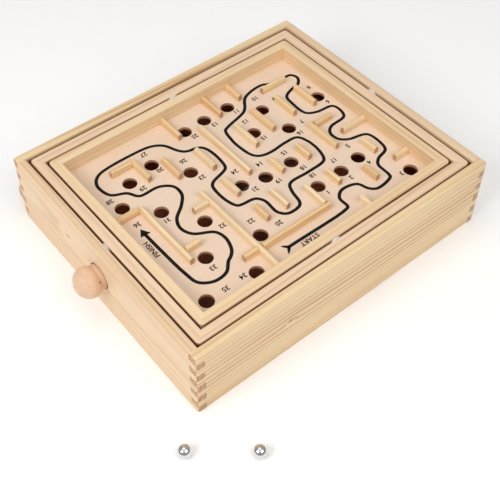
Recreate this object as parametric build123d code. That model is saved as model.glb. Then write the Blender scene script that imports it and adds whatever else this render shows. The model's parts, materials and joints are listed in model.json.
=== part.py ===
from build123d import *
import math
import os

# Tilt maze game: a finger-jointed wooden box holds an outer frame that tilts about X, and in it a
# maze tray that tilts about Y. A knob on a cross shaft pulls each one round with a cord and spring.
# Millimetres, +Z up. X runs along the long side, -Y is the player's side, and the origin is the
# middle of the box's underside.

# Box
BOX_LENGTH = 300.0
BOX_WIDTH = 250.0
BOX_HEIGHT = 70.0
WALL = 8.0
FINGERS = 10
BOX_CORNER_R = 2.5
BOX_EDGE_R = 2.0
BOX_INNER_EDGE_R = 1.0
BASE_THICKNESS = 4.0
INNER_X = BOX_LENGTH / 2 - WALL
INNER_Y = BOX_WIDTH / 2 - WALL
FINGER = BOX_HEIGHT / FINGERS

# Sloping floor that brings a dropped ball to the opening in the front wall
FLOOR_THICKNESS = 3.0
FLOOR_TOP_Z = 15.5
FLOOR_FALL_Y = 2.0
FLOOR_FALL_X = 0.6
FLOOR_CLEARANCE = 0.3
SUPPORT_WIDTH = 10.0
EXIT_X = 110.0
EXIT_LENGTH = 36.0
EXIT_HEIGHT = 22.0
EXIT_Z = 21.0
EXIT_CORNER_R = 6.0

# Ledge outside that opening, with a hollow where the balls come to rest
LEDGE_START_X = 84.0
LEDGE_END_X = 144.5
LEDGE_DEPTH = 21.5
LEDGE_BOTTOM = 6.0
LEDGE_HEIGHT = 8.5
LEDGE_RIM = 4.5
LEDGE_HOLLOW = 5.0
LEDGE_CORNER_R = 4.0
LEDGE_EDGE_R = 0.8

# Tilting frames: both are flush with each other, a little below the box's top edge
FRAME_TOP = 68.5
FRAME_BOTTOM = 49.5
FRAME_EDGE_R = 0.8
FRAME_CORNER_R = 3.0
OUTER_GAP = 2.3
RAIL = 9.0
TRAY_GAP = 2.0
RIM = 8.5
FRAME_X = INNER_X - OUTER_GAP
FRAME_Y = INNER_Y - OUTER_GAP
TRAY_X = FRAME_X - RAIL - TRAY_GAP
TRAY_Y = FRAME_Y - RAIL - TRAY_GAP

# Maze panel, its holes and its strips
BOARD_TOP = FRAME_TOP - 14.0
BOARD_THICKNESS = 3.0
GROOVE_DEPTH = 3.0
GROOVE_CLEARANCE = 0.3
HOLE_R = 6.25
HOLE_CHAMFER = 0.3
STRIP_WIDTH = 4.5
STRIP_HEIGHT = 6.5
STRIP_ROUND_R = 2.2

# Pivots
PIVOT_Z = 63.0
PIN_R = 2.0
PIN_CLEARANCE = 0.06
PIN_BITE = 6.0
PIN_INSET = 1.5
SPACER_R = 5.3
SPACER_SLACK = 0.3

# Cross shafts, bearings and knobs
SHAFT_R = 2.0
SHAFT_CLEARANCE = 0.05
SHAFT_X_Z = 38.0
SHAFT_Y_Z = 30.0
BEARING_DEPTH = 6.0
SHAFT_END_PLAY = 0.5
RECESS_R = 11.6
RECESS_DEPTH = 4.5
KNOB_R = 13.4
KNOB_HALF_LENGTH = 11.5
KNOB_CENTRE = 10.5
COLLAR_R = 10.9
COLLAR_START = -3.4
COLLAR_END = 3.8
KNOB_BORE_END = 12.0
KNOB_PIN_R = 0.8
KNOB_PIN_X = 4.9
KNOB_PIN_ANGLE = 29.5
KNOB_PIN_SINK = 1.2
CLIP_R = 5.0
CLIP_THICKNESS = 0.6
CLIP_SLACK = 0.2

# Cords and springs that tie each frame to its shaft
CORD_R = 0.4
CORD_TURNS = 3
CORD_PITCH = 1.0
CORD_STANDOFF = 0.05
CORD_X_OFFSET = 40.0
CORD_Y_OFFSET = 14.0
EYE_R = 1.8
EYE_WIRE_R = 0.45
EYE_DROP = 5.2
EYE_SCREW_R = 0.6
EYE_SCREW_LENGTH = 8.0
LOOP_R = 1.4
LINK_SLACK = 0.05
JOINT_SWELL = 1.12
SPRING_R = 1.8
SPRING_WIRE_R = 0.25
SPRING_PITCH = 0.8
SPRING_TURNS = 16

# Countersunk screws under the base
SCREW_HEAD_R = 3.0
SCREW_R = 1.4
SCREW_LENGTH = 7.5
SCREW_HEAD = 1.6
SCREW_Y = 80.0

# Steel balls
BALL_R = 5.5
BALL_PLACES = {"ball_1": (177.5, 145.0), "ball_2": (136.0, 178.5)}

# Centres of the holes a ball can fall through, row by row from the far side to the player's
HOLES = [
    (-107.8, 81.8), (61.0, 83.8), (106.8, 81.0),
    (-84.0, 43.7), (-62.0, 46.3), (-35.0, 47.2), (35.2, 57.5), (82.4, 48.3),
    (-36.3, 12.2), (-8.3, 12.2), (13.3, 7.2), (60.4, 18.7),
    (-62.3, -20.3), (81.7, -10.8),
    (-109.8, -35.2), (-34.6, -35.0), (36.8, -31.4), (104.0, -33.8),
    (-59.3, -53.2), (57.3, -59.0), (83.5, -53.0),
    (-37.2, -75.3), (-10.6, -74.8), (11.4, -73.8),
]

# Maze strips as ("x" or "y" for the way it runs, start, end, position of its far or right face).
# Strips that are glued to each other as one branch share a node.
RIM_X = TRAY_X - RIM
RIM_Y = TRAY_Y - RIM
STRIPS = {
    "maze_branch_start": [("x", -26.5, 43.8, 72.0), ("y", 43.0, 67.5, -22.0)],
    "maze_branch_middle": [
        ("y", -5.0, RIM_Y, 48.3), ("x", 48.3, 62.0, 71.5), ("x", 48.3, 62.5, 9.0)],
    "maze_branch_finish": [
        ("y", -21.0, 47.0, 96.2), ("x", 78.0, 91.7, 37.0), ("x", 96.2, RIM_X, -19.5)],
    "maze_branch_right": [("y", -70.5, -43.5, 71.5), ("x", 71.5, 92.0, -66.0)],
    "maze_branch_left": [("y", -11.0, 25.0, -75.0), ("x", -99.5, -79.5, -5.0)],
    "maze_stubs_front": [
        ("y", -RIM_Y, -75.0, -49.5), ("y", -RIM_Y, -68.0, -22.5), ("y", -RIM_Y, -68.0, 22.5)],
    "maze_stubs_left": [("x", -RIM_X, -105.0, 67.5), ("x", -RIM_X, -93.5, 16.0)],
    "maze_stub_back": [("y", 80.0, RIM_Y, -49.5)],
    "maze_strips_front_left": [
        ("y", -55.0, -27.5, -97.5), ("y", -55.0, -29.0, -75.0), ("x", -100.0, -73.0, -68.0)],
    "maze_strip_1": [("y", 57.0, 73.0, -75.5)],
    "maze_strip_2": [("y", 33.0, 49.5, -97.0)],
    "maze_strip_3": [("y", 41.0, 57.5, -48.0)],
    "maze_strip_4": [("y", 29.0, 50.5, 2.5)],
    "maze_strip_5": [("y", 34.0, 50.5, 23.0)],
    "maze_strip_6": [("y", 3.0, 20.0, -48.5)],
    "maze_strip_7": [("y", 2.0, 18.5, -20.5)],
    "maze_strip_8": [("y", -6.0, 15.5, 24.5)],
    "maze_strip_9": [("y", -67.0, 2.5, 2.0)],
    "maze_strip_10": [("y", -56.0, -25.0, -47.5)],
    "maze_strip_11": [("y", -49.0, -19.0, -23.5)],
    "maze_strip_12": [("y", -47.0, -20.5, 21.5)],
    "maze_strip_13": [("y", -55.5, -30.0, 50.0)],
}


def block(x0, x1, y0, y1, z0, z1):
    """A box between two corners."""
    middle = ((x0 + x1) / 2, (y0 + y1) / 2, (z0 + z1) / 2)
    return Pos(*middle) * Box(x1 - x0, y1 - y0, z1 - z0)


def rod(start, end, radius):
    """A round bar between two points."""
    run = Vector(*end) - Vector(*start)
    plane = Plane(origin=start, z_dir=run)
    return extrude(plane * Circle(radius), run.length)


def wire_joint(point, wire_r):
    """A bead a little fatter than the wire, over a place where two lengths of it meet."""
    return Pos(*point) * Sphere(JOINT_SWELL * wire_r)


def wire(start, end, wire_r):
    """A straight length of wire with a bead at each end, just clear of what it is joined to."""
    start, end = Vector(*start), Vector(*end)
    inset = (end - start).normalized() * (wire_r / 4)
    return [wire_joint(start, wire_r), wire_joint(end, wire_r), rod(start + inset, end - inset, wire_r)]


def ring(centre, axis, radius, wire_r):
    """A wire ring round an axis."""
    return Plane(origin=centre, z_dir=axis) * Torus(radius, wire_r)


def tube(centre, axis, outer_r, inner_r, length):
    """A short tube that starts at its centre point and runs along the axis."""
    plane = Plane(origin=centre, z_dir=axis)
    return plane * extrude(Circle(outer_r) - Circle(inner_r), length)


# ---- Box ------------------------------------------------------------------------------------

def box_shell():
    """The four walls as one rounded shell, before it is cut into finger-jointed boards."""
    body = block(-BOX_LENGTH / 2, BOX_LENGTH / 2, -BOX_WIDTH / 2, BOX_WIDTH / 2, 0, BOX_HEIGHT)
    body = fillet(body.edges().filter_by(Axis.Z), BOX_CORNER_R)
    body = fillet(body.faces().sort_by(Axis.Z)[-1].edges(), BOX_EDGE_R)
    body = fillet(body.faces().sort_by(Axis.Z)[0].edges(), BOX_EDGE_R / 4)
    body -= block(-INNER_X, INNER_X, -INNER_Y, INNER_Y, -1, BOX_HEIGHT + 1)
    inner_edges = body.faces().sort_by(Axis.Z)[-1].inner_wires()[0].edges()
    return fillet(inner_edges, BOX_INNER_EDGE_R)


def finger_region(side, axis):
    """The space of one wall board: its plain length and every second finger at its two ends."""
    if axis == "x":
        near, far = sorted((side * INNER_Y, side * BOX_WIDTH / 2))
        region = block(-INNER_X, INNER_X, near, far, 0, BOX_HEIGHT)
        reach, first = BOX_LENGTH / 2, 1
    else:
        near, far = sorted((side * INNER_X, side * BOX_LENGTH / 2))
        region = block(near, far, -INNER_Y, INNER_Y, 0, BOX_HEIGHT)
        reach, first = BOX_WIDTH / 2, 0
    for layer in range(first, FINGERS, 2):
        low, high = layer * FINGER, (layer + 1) * FINGER
        if axis == "x":
            region += block(-reach, reach, near, far, low, high)
        else:
            region += block(near, far, -reach, reach, low, high)
    return region


def pivot_socket(side):
    """The blind hole for the outer frame's pivot pin, in a short wall."""
    start = (side * INNER_X, 0, PIVOT_Z)
    end = (side * (INNER_X + PIN_BITE), 0, PIVOT_Z)
    return rod(start, end, PIN_R)


def knob_seat(half, z):
    """The recess and shaft bore in the wall that carries a knob, for a shaft along +X."""
    outside = half + 1
    recess = rod((half - RECESS_DEPTH, 0, z), (outside, 0, z), RECESS_R)
    return recess + rod((half - WALL - 1, 0, z), (half, 0, z), SHAFT_R + SHAFT_CLEARANCE)


def end_bearing(half, z):
    """The blind bearing hole in the wall opposite the knob, for a shaft along +X."""
    inner = half - WALL
    return rod((-inner, 0, z), (-inner - BEARING_DEPTH, 0, z), SHAFT_R + SHAFT_CLEARANCE)


def exit_opening():
    """The rounded opening in the front wall where a dropped ball rolls out."""
    outline = Plane.XZ * Pos(EXIT_X, EXIT_Z) * RectangleRounded(EXIT_LENGTH, EXIT_HEIGHT, EXIT_CORNER_R)
    return Pos(0, -INNER_Y + 1, 0) * extrude(outline, WALL + 2)


def front_to_side(shape):
    """Turn something made for a shaft along +X round to a shaft along -Y."""
    return Rot(0, 0, -90) * shape


def box_walls():
    shell = box_shell()
    half_x, half_y = BOX_LENGTH / 2, BOX_WIDTH / 2
    back = shell & finger_region(1, "x")
    front = shell & finger_region(-1, "x")
    right = shell & finger_region(1, "y")
    left = shell & finger_region(-1, "y")
    right = right - knob_seat(half_x, SHAFT_X_Z) - pivot_socket(1)
    left = left - end_bearing(half_x, SHAFT_X_Z) - pivot_socket(-1)
    front = front - front_to_side(knob_seat(half_y, SHAFT_Y_Z)) - exit_opening()
    back = back - front_to_side(end_bearing(half_y, SHAFT_Y_Z))
    return {"wall_back": back, "wall_front": front, "wall_right": right, "wall_left": left}


def floor_tilt():
    """Where the sloping floor's top face lies: it falls towards the front right corner."""
    return Pos(0, 0, FLOOR_TOP_Z) * Rot(FLOOR_FALL_Y, FLOOR_FALL_X, 0)


def return_floor():
    sheet = floor_tilt() * Pos(0, 0, -FLOOR_THICKNESS / 2) * Box(
        BOX_LENGTH + 20, BOX_WIDTH + 20, FLOOR_THICKNESS)
    x, y = INNER_X - FLOOR_CLEARANCE, INNER_Y - FLOOR_CLEARANCE
    return sheet & block(-x, x, -y, y, 0, BOX_HEIGHT)


def ball_ledge():
    """The ledge glued to the front wall, hollowed out to hold the balls that roll out."""
    face, front = -BOX_WIDTH / 2, -BOX_WIDTH / 2 - LEDGE_DEPTH
    top = LEDGE_BOTTOM + LEDGE_HEIGHT
    body = block(LEDGE_START_X, LEDGE_END_X, front, face, LEDGE_BOTTOM, top)
    corners = body.edges().filter_by(Axis.Z).sort_by(Axis.Y)[:2]
    body = fillet(corners, LEDGE_CORNER_R)
    hollow = block(LEDGE_START_X + LEDGE_RIM, LEDGE_END_X - LEDGE_RIM, front + LEDGE_RIM, face,
                   top - LEDGE_HOLLOW, top + 1)
    corners = hollow.edges().filter_by(Axis.Z).sort_by(Axis.Y)[:2]
    body -= fillet(corners, LEDGE_CORNER_R)
    rim = body.faces().sort_by(Axis.Z)[-1]
    return fillet([edge for edge in rim.edges() if edge.center().Y < face - 0.1], LEDGE_EDGE_R)


def screw_places():
    x = INNER_X - SUPPORT_WIDTH / 2
    return [(side * x, y) for side in (-1, 1) for y in (-SCREW_Y, SCREW_Y)]


def base_screw(grow=0.0):
    """A countersunk screw with its head flush with the underside, or the hole it sits in."""
    head = Pos(0, 0, SCREW_HEAD / 2) * Cone(SCREW_HEAD_R, SCREW_R, SCREW_HEAD)
    shank = Pos(0, 0, SCREW_HEAD) * Cylinder(
        SCREW_R, SCREW_LENGTH - SCREW_HEAD, align=(Align.CENTER, Align.CENTER, Align.MIN))
    screw = head + shank
    if grow:
        return screw
    cross = Box(2.4, 0.6, 1.6) + Box(0.6, 2.4, 1.6)
    return screw - cross


def base_panel():
    panel = block(-INNER_X, INNER_X, -INNER_Y, INNER_Y, 0, BASE_THICKNESS)
    for x, y in screw_places():
        panel -= Pos(x, y, 0) * base_screw(grow=1)
    return panel


def floor_support(side):
    """A long wedge under one end of the sloping floor, glued to the short wall and screwed."""
    near, far = sorted((side * (INNER_X - SUPPORT_WIDTH), side * INNER_X))
    y = INNER_Y - FLOOR_CLEARANCE
    wedge = block(near, far, -y, y, BASE_THICKNESS, BOX_HEIGHT / 2)
    above = floor_tilt() * Pos(0, 0, BOX_HEIGHT / 2 - FLOOR_THICKNESS) * Box(
        2 * BOX_LENGTH, 2 * BOX_WIDTH, BOX_HEIGHT)
    wedge -= above
    for x, place_y in screw_places():
        if x * side > 0:
            wedge -= Pos(x, place_y, 0) * base_screw(grow=1)
    return wedge


# ---- Tilting frames ---------------------------------------------------------------------------

def frame_ring(half_x, half_y, width):
    """A rectangular frame with rounded corners and eased edges, before it is cut at its mitres."""
    body = block(-half_x, half_x, -half_y, half_y, FRAME_BOTTOM, FRAME_TOP)
    body = fillet(body.edges().filter_by(Axis.Z), FRAME_CORNER_R)
    inner_x, inner_y = half_x - width, half_y - width
    body -= block(-inner_x, inner_x, -inner_y, inner_y, FRAME_BOTTOM - 1, FRAME_TOP + 1)
    return fillet(body.faces().sort_by(Axis.Z)[-1].edges(), FRAME_EDGE_R)


def mitre_region(half_x, half_y, width, side, axis):
    """The space of one rail, between the two mitres at its ends."""
    reach = 2.0
    out_x, out_y = half_x + reach, half_y + reach
    in_x, in_y = half_x - width - reach, half_y - width - reach
    if axis == "x":
        points = [(-out_x, side * out_y), (out_x, side * out_y),
                  (in_x, side * in_y), (-in_x, side * in_y)]
    else:
        points = [(side * out_x, -out_y), (side * out_x, out_y),
                  (side * in_x, in_y), (side * in_x, -in_y)]
    outline = make_face(Polyline(*points, close=True))
    return Pos(0, 0, FRAME_BOTTOM - 1) * extrude(outline, FRAME_TOP - FRAME_BOTTOM + 2)


def mitred_rails(body, half_x, half_y, width, names):
    """Cut a frame into its back, front, right and left rails."""
    sides = [(1, "x"), (-1, "x"), (1, "y"), (-1, "y")]
    return {
        name: body & mitre_region(half_x, half_y, width, side, axis)
        for name, (side, axis) in zip(names, sides)
    }


def eye_hole(x, y):
    return rod((x, y, FRAME_BOTTOM - 1), (x, y, FRAME_BOTTOM + EYE_SCREW_LENGTH), EYE_SCREW_R)


def outer_frame_rails():
    body = frame_ring(FRAME_X, FRAME_Y, RAIL)
    running_r = PIN_R + PIN_CLEARANCE
    for side in (-1, 1):
        outside = (side * (FRAME_X + 1), 0, PIVOT_Z)
        body -= rod((side * (FRAME_X - RAIL - 1), 0, PIVOT_Z), outside, running_r)
        outside = (0, side * (FRAME_Y + 1), PIVOT_Z)
        body -= rod((0, side * (FRAME_Y - RAIL - 1), PIVOT_Z), outside, PIN_R)
    for x, y in eye_places(FRAME_Y - RAIL / 2, CORD_X_OFFSET):
        body -= eye_hole(x, y)
    names = ["frame_rail_back", "frame_rail_front", "frame_rail_right", "frame_rail_left"]
    return mitred_rails(body, FRAME_X, FRAME_Y, RAIL, names)


def tray_rims():
    body = frame_ring(TRAY_X, TRAY_Y, RIM)
    groove_x = RIM_X + GROOVE_DEPTH
    groove_y = RIM_Y + GROOVE_DEPTH
    body -= block(-groove_x, groove_x, -groove_y, groove_y, BOARD_TOP - BOARD_THICKNESS, BOARD_TOP)
    blind = RIM - PIN_INSET
    for side in (-1, 1):
        start = (0, side * (TRAY_Y - blind), PIVOT_Z)
        body -= rod(start, (0, side * (TRAY_Y + 1), PIVOT_Z), PIN_R + PIN_CLEARANCE)
    for x, y in eye_places(TRAY_X - RIM / 2, CORD_Y_OFFSET):
        body -= eye_hole(y, -x)
    names = ["tray_rim_back", "tray_rim_front", "tray_rim_right", "tray_rim_left"]
    return mitred_rails(body, TRAY_X, TRAY_Y, RIM, names)


def maze_panel():
    x = RIM_X + GROOVE_DEPTH - GROOVE_CLEARANCE
    y = RIM_Y + GROOVE_DEPTH - GROOVE_CLEARANCE
    panel = block(-x, x, -y, y, BOARD_TOP - BOARD_THICKNESS, BOARD_TOP)
    for hole_x, hole_y in HOLES:
        panel -= Pos(hole_x, hole_y, BOARD_TOP) * Cylinder(HOLE_R, 4 * BOARD_THICKNESS)
    mouths = panel.faces().sort_by(Axis.Z)[-1].inner_wires()
    return chamfer([edge for wire in mouths for edge in wire.edges()], HOLE_CHAMFER)


def maze_strip(way, start, end, face):
    """One round-topped strip of the maze. The face is its side with the larger X or Y."""
    if way == "x":
        strip = block(start, end, face - STRIP_WIDTH, face, BOARD_TOP, BOARD_TOP + STRIP_HEIGHT)
        grain = Axis.X
    else:
        strip = block(face - STRIP_WIDTH, face, start, end, BOARD_TOP, BOARD_TOP + STRIP_HEIGHT)
        grain = Axis.Y
    return fillet(strip.faces().sort_by(Axis.Z)[-1].edges().filter_by(grain), STRIP_ROUND_R)


def maze_strips():
    return {name: Compound([maze_strip(*strip) for strip in strips])
            for name, strips in STRIPS.items()}


# ---- Pivots -----------------------------------------------------------------------------------

def pair(piece):
    """A piece and its twin on the other side of the game."""
    return Compound([piece, Rot(0, 0, 180) * piece])


def frame_pivots():
    """Pins from the short walls into the outer frame, and the spacer rings round them."""
    start = (FRAME_X - RAIL + PIN_INSET, 0, PIVOT_Z)
    pin = rod(start, (INNER_X + PIN_BITE, 0, PIVOT_Z), PIN_R)
    spacer = tube((INNER_X, 0, PIVOT_Z), (-1, 0, 0), SPACER_R, PIN_R, OUTER_GAP - SPACER_SLACK)
    return {"frame_pivot_pins": pair(pin), "frame_pivot_spacers": pair(spacer)}


def tray_pivots():
    """Pins from the outer frame's long rails into the tray, and the spacer rings round them."""
    rail_face = FRAME_Y - RAIL
    start = (0, TRAY_Y - RIM + 2 * PIN_INSET, PIVOT_Z)
    pin = rod(start, (0, FRAME_Y - PIN_INSET, PIVOT_Z), PIN_R)
    spacer = tube((0, rail_face, PIVOT_Z), (0, -1, 0), SPACER_R, PIN_R, TRAY_GAP - SPACER_SLACK)
    return {"tray_pivot_pins": pair(pin), "tray_pivot_spacers": pair(spacer)}


# ---- Shafts and knobs, made for a shaft along +X at height z, in a box of half-length half ------

def knob_pin_line(half, z, inner, outer):
    """Two points on the cross pin's line, given by their distances from the shaft's axis."""
    x = half + KNOB_PIN_X
    c = math.cos(math.radians(KNOB_PIN_ANGLE))
    s = math.sin(math.radians(KNOB_PIN_ANGLE))
    return (x, inner * c, z + inner * s), (x, outer * c, z + outer * s)


def shaft(half, z):
    start = (-(half - WALL + BEARING_DEPTH - SHAFT_END_PLAY), 0, z)
    bar = rod(start, (half + KNOB_BORE_END - SHAFT_END_PLAY, 0, z), SHAFT_R)
    return bar - rod(*knob_pin_line(half, z, -KNOB_R, KNOB_R), KNOB_PIN_R)


def knob_surface_r(x):
    """The radius of the knob's flattened ball at a distance from the wall's outer face."""
    return KNOB_R * math.sqrt(1 - ((x - KNOB_CENTRE) / KNOB_HALF_LENGTH) ** 2)


def knob(half, z):
    """A turned, slightly flattened ball on a collar that runs in the wall's recess, bored blind."""
    half_ellipse = Ellipse(KNOB_HALF_LENGTH, KNOB_R) & (
        Pos(0, KNOB_R / 2) * Rectangle(2 * KNOB_HALF_LENGTH, KNOB_R))
    body = Pos(half + KNOB_CENTRE, 0, z) * revolve(Plane.XZ * half_ellipse, Axis.X)
    wall_side = half + COLLAR_END
    body -= block(half - KNOB_R, wall_side, -KNOB_R, KNOB_R, z - KNOB_R, z + KNOB_R)
    body += rod((half + COLLAR_START, 0, z), (wall_side, 0, z), COLLAR_R)
    body -= rod((half + COLLAR_START - 1, 0, z), (half + KNOB_BORE_END, 0, z), SHAFT_R)
    return body - rod(*knob_pin_line(half, z, -KNOB_R / 2, KNOB_R), KNOB_PIN_R)


def knob_pin(half, z):
    """The thin pin that locks a knob to its shaft, sunk below the knob's surface."""
    outer = knob_surface_r(KNOB_PIN_X) - KNOB_PIN_SINK
    return rod(*knob_pin_line(half, z, -KNOB_R / 2, outer), KNOB_PIN_R)


def shaft_clips(half, z):
    """Push-on washers that keep a shaft from sliding, one just inside each wall."""
    inner = half - WALL - CLIP_SLACK
    right = tube((inner, 0, z), (-1, 0, 0), CLIP_R, SHAFT_R, CLIP_THICKNESS)
    left = tube((-inner, 0, z), (1, 0, 0), CLIP_R, SHAFT_R, CLIP_THICKNESS)
    return Compound([right, left])


# ---- Cords, springs and screw eyes, made for a shaft along +X -----------------------------------

def eye_places(arm, offset):
    """Where the two screw eyes sit: the far one where the cord starts, the near one past it."""
    shift = CORD_TURNS * CORD_PITCH / 2
    return [(offset - shift, arm), (offset + shift, -arm)]


def eye_z():
    return FRAME_BOTTOM - EYE_DROP


def screw_eyes(arm, offset):
    eyes = []
    for x, y in eye_places(arm, offset):
        hoop = ring((x, y, eye_z()), (1, 0, 0), EYE_R, EYE_WIRE_R)
        stem_start = (x, y, eye_z() + EYE_R)
        hoop += rod(stem_start, (x, y, FRAME_BOTTOM + EYE_SCREW_LENGTH), EYE_SCREW_R)
        eyes.append(hoop)
    return Compound(eyes)


def wound_r():
    """The radius of the wound cord's centre line."""
    return SHAFT_R + CORD_STANDOFF + CORD_R


def link(ring_r, wire_r, other_r, other_wire_r):
    """How far apart the centres of two rings are when one hangs in the other."""
    return ring_r - wire_r + other_r - other_wire_r - LINK_SLACK


def cord_ends(arm, z, offset):
    """Key points of one cord's path: its end at the far screw eye, its two points on top of the
    shaft and the point where the spring's coils start by the near screw eye."""
    (far_x, _), (near_x, _) = eye_places(arm, offset)
    top = z + wound_r()
    far = Vector(far_x, arm - link(EYE_R, EYE_WIRE_R, LOOP_R, CORD_R) - LOOP_R, eye_z())
    near_hook = link(EYE_R, EYE_WIRE_R, LOOP_R, SPRING_WIRE_R) + LOOP_R
    near = Vector(near_x, near_hook - arm, eye_z())
    return far, Vector(far_x, 0, top), Vector(near_x, 0, top), near


def spring_span(arm, z, offset):
    """The two ends of the spring's coils and the direction from the first to the second."""
    _, _, leave, near = cord_ends(arm, z, offset)
    along = (leave - near).normalized()
    return near, near + along * SPRING_TURNS * SPRING_PITCH, along


def cord(arm, z, offset):
    """A cord from its screw eye to the shaft, wound round it, and on to the spring."""
    far, meet, leave, _ = cord_ends(arm, z, offset)
    _, spring_end, along = spring_span(arm, z, offset)
    loop = spring_end + along * (LOOP_R + link(LOOP_R, SPRING_WIRE_R, LOOP_R, CORD_R))
    turns = Helix(CORD_PITCH, CORD_TURNS * CORD_PITCH, wound_r())
    winding = Pos(meet.X, 0, z) * Rot(0, 90, 0) * Rot(0, 0, 180) * turns
    section = Plane(origin=winding @ 0, z_dir=winding % 0) * Circle(CORD_R)
    body = sweep(section, path=winding)
    body += wire(far, meet, CORD_R)
    body += wire(leave, loop + along * LOOP_R, CORD_R)
    body += ring(far + Vector(0, LOOP_R, 0), (0, 0, 1), LOOP_R, CORD_R)
    return body + ring(loop, (0, 0, 1), LOOP_R, CORD_R)


def tension_spring(arm, z, offset):
    """A small coil spring, hooked to the near screw eye and to the cord's end loop."""
    start, end, along = spring_span(arm, z, offset)
    coils = Helix(SPRING_PITCH, SPRING_TURNS * SPRING_PITCH, SPRING_R)
    path = Plane(origin=start, z_dir=along) * coils
    section = Plane(origin=path @ 0, z_dir=path % 0) * Circle(SPRING_WIRE_R)
    body = sweep(section, path=path)
    for coil_end, centre, hoop_axis, way in (
            (path @ 0, start, (0, 0, 1), -1), (path @ 1, end, (1, 0, 0), 1)):
        body += wire(coil_end, centre, SPRING_WIRE_R)
        body += ring(centre + along * (way * LOOP_R), hoop_axis, LOOP_R, SPRING_WIRE_R)
    return body


# ---- Whole model --------------------------------------------------------------------------------

def tilt_drives():
    """Both shafts with their knobs, cords, springs and eyes. The tray's is turned to run along Y."""
    half_x, half_y = BOX_LENGTH / 2, BOX_WIDTH / 2
    frame_arm, tray_arm = FRAME_Y - RAIL / 2, TRAY_X - RIM / 2
    drives = {
        "shaft_x": shaft(half_x, SHAFT_X_Z),
        "knob_x": knob(half_x, SHAFT_X_Z),
        "knob_x_pin": knob_pin(half_x, SHAFT_X_Z),
        "shaft_x_clips": shaft_clips(half_x, SHAFT_X_Z),
        "cord_x": cord(frame_arm, SHAFT_X_Z, CORD_X_OFFSET),
        "spring_x": tension_spring(frame_arm, SHAFT_X_Z, CORD_X_OFFSET),
        "frame_screw_eyes": screw_eyes(frame_arm, CORD_X_OFFSET),
        "shaft_y": front_to_side(shaft(half_y, SHAFT_Y_Z)),
        "knob_y": front_to_side(knob(half_y, SHAFT_Y_Z)),
        "knob_y_pin": front_to_side(knob_pin(half_y, SHAFT_Y_Z)),
        "shaft_y_clips": front_to_side(shaft_clips(half_y, SHAFT_Y_Z)),
        "cord_y": front_to_side(cord(tray_arm, SHAFT_Y_Z, CORD_Y_OFFSET)),
        "spring_y": front_to_side(tension_spring(tray_arm, SHAFT_Y_Z, CORD_Y_OFFSET)),
        "tray_screw_eyes": front_to_side(screw_eyes(tray_arm, CORD_Y_OFFSET)),
    }
    return drives


def build():
    nodes = box_walls()
    nodes["base_panel"] = base_panel()
    nodes["base_screws"] = Compound([Pos(x, y, 0) * base_screw() for x, y in screw_places()])
    nodes["return_floor"] = return_floor()
    nodes["floor_supports"] = Compound([floor_support(-1), floor_support(1)])
    nodes["ball_ledge"] = ball_ledge()
    nodes.update(outer_frame_rails())
    nodes.update(tray_rims())
    nodes.update(frame_pivots())
    nodes.update(tray_pivots())
    nodes["maze_panel"] = maze_panel()
    nodes.update(maze_strips())
    nodes.update(tilt_drives())
    for name, (x, y) in BALL_PLACES.items():
        nodes[name] = Pos(x, y, BALL_R) * Sphere(BALL_R)
    return nodes


os.makedirs("parts", exist_ok=True)
for node_name, node_shape in build().items():
    export_step(node_shape, f"parts/{node_name}.step")
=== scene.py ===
import json
import math

import bmesh
import bpy
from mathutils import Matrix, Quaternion, Vector


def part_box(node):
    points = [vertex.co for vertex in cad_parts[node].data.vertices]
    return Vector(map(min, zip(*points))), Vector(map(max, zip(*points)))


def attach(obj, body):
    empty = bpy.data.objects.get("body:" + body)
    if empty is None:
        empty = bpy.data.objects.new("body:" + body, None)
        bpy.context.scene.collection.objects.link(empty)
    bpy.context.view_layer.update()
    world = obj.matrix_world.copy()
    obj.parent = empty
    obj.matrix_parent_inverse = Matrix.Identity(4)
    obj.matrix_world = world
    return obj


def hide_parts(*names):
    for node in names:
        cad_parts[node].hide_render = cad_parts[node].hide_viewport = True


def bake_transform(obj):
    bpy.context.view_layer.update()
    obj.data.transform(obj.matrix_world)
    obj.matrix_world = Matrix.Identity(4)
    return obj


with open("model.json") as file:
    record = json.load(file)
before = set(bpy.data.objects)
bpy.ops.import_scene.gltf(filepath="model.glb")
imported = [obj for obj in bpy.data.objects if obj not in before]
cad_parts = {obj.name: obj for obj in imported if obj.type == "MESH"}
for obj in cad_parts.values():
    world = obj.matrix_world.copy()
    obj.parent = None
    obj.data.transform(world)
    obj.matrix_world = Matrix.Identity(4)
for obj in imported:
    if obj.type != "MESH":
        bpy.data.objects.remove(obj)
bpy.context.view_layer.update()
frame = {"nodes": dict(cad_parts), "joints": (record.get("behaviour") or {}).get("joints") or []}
NODES = frame["nodes"]

MM = 0.001

# ---- Camera, lights and floor -------------------------------------------------------------------

CAMERA_AZIMUTH = 141.77
CAMERA_ELEVATION = 46.88
CAMERA_ROLL = -0.58
CAMERA_TARGET = (0.0095, -0.0133, 0.035)
CAMERA_DISTANCE = 0.773
CAMERA_LENS = 65.3
CAMERA_SHIFT = (0.040, -0.129)

FLOOR_SIZE = 12.0
LAMPS = {
    # azimuth, elevation, distance, size, power
    "key_lamp": (95, 42, 1.5, 0.7, 8.8),
    "fill_lamp": (185, 50, 1.6, 1.0, 6.8),
    "top_lamp": (20, 80, 1.6, 1.0, 3.0),
}
# How bright the world is where the camera sees it, and as light at its foot and overhead
BACKDROP = 1.0
SKY_LOW = 0.30
SKY_HIGH = 0.50
WARM_WHITE = (1.0, 0.99, 0.975, 1)
WHITE = (1, 1, 1, 1)


def direction(azimuth, elevation):
    """Unit vector from the object towards a place at that azimuth and elevation, in degrees."""
    a, e = math.radians(azimuth), math.radians(elevation)
    return Vector((math.sin(a) * math.cos(e), -math.cos(a) * math.cos(e), math.sin(e)))


def link(obj):
    bpy.context.scene.collection.objects.link(obj)
    return obj


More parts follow.
